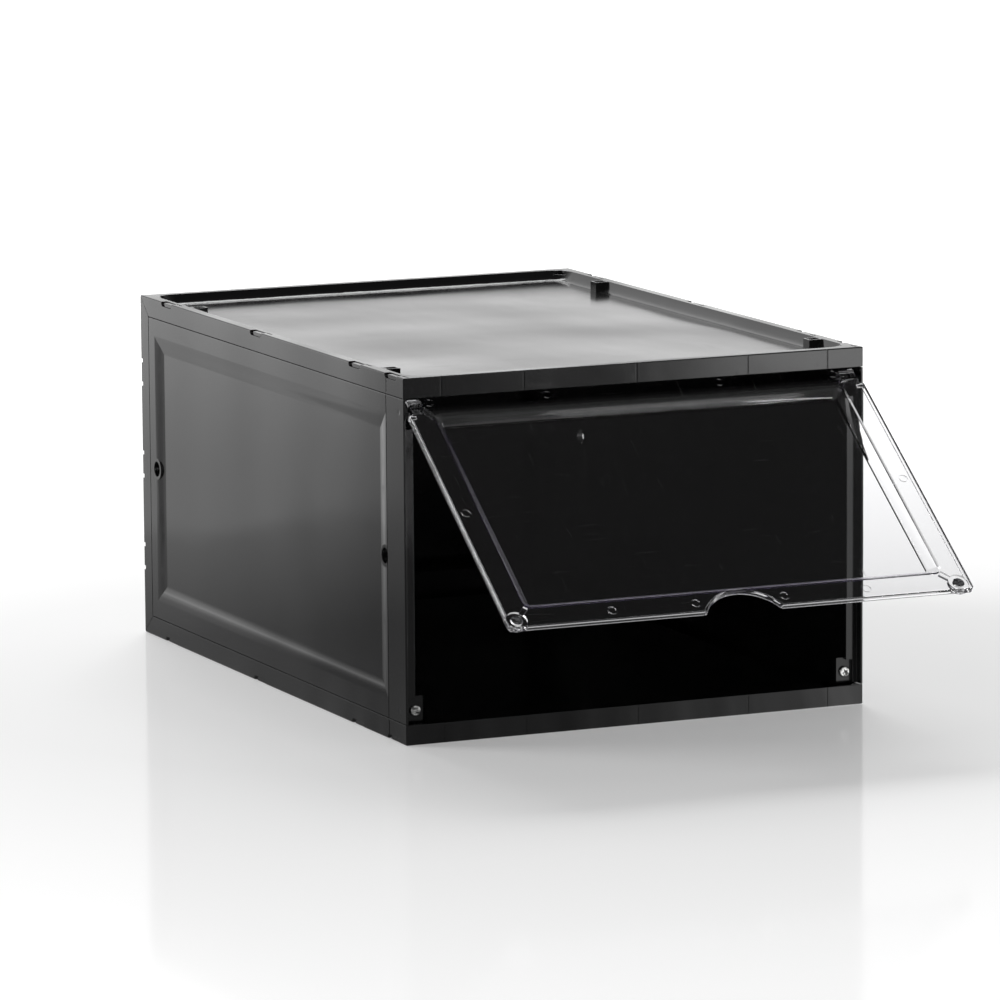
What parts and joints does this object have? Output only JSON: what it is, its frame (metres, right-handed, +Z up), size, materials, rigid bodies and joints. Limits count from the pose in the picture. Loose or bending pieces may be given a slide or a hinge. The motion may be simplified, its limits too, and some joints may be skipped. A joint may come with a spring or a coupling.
{
  "type": "shoe box",
  "caption": "Stackable shoe storage box with snap-together black plastic panels and a clear, top-hinged door that closes on magnets.",
  "frame": {"origin": "centre of the base footprint, on the plane the box stands on", "axes": "+Z up, +Y from the door towards the back panel, +X to the right of a person who faces the door"},
  "size_m": [0.255, 0.4839, 0.185],
  "materials": {
    "black_plastic": "satin black moulded polystyrene",
    "clear_plastic": "clear polished moulding",
    "magnet": "bright nickel plate",
    "screw_steel": "bright zinc plate"
  },
  "bodies": {
    "case": {"top_panel": "black_plastic", "bottom_panel": "black_plastic", "left_panel": "black_plastic", "right_panel": "black_plastic", "back_panel": "black_plastic", "left_strike_screw": "screw_steel", "right_strike_screw": "screw_steel"},
    "door": {"door": "clear_plastic", "left_door_magnet": "magnet", "right_door_magnet": "magnet"}
  },
  "joints": [
    {"name": "door_hinge", "type": "hinge", "parent": "case", "child": "door", "pos_m": [0, -0.174, 0.1673], "axis": [-1, 0, 0], "range_deg": [-54, 41]}
  ]
}
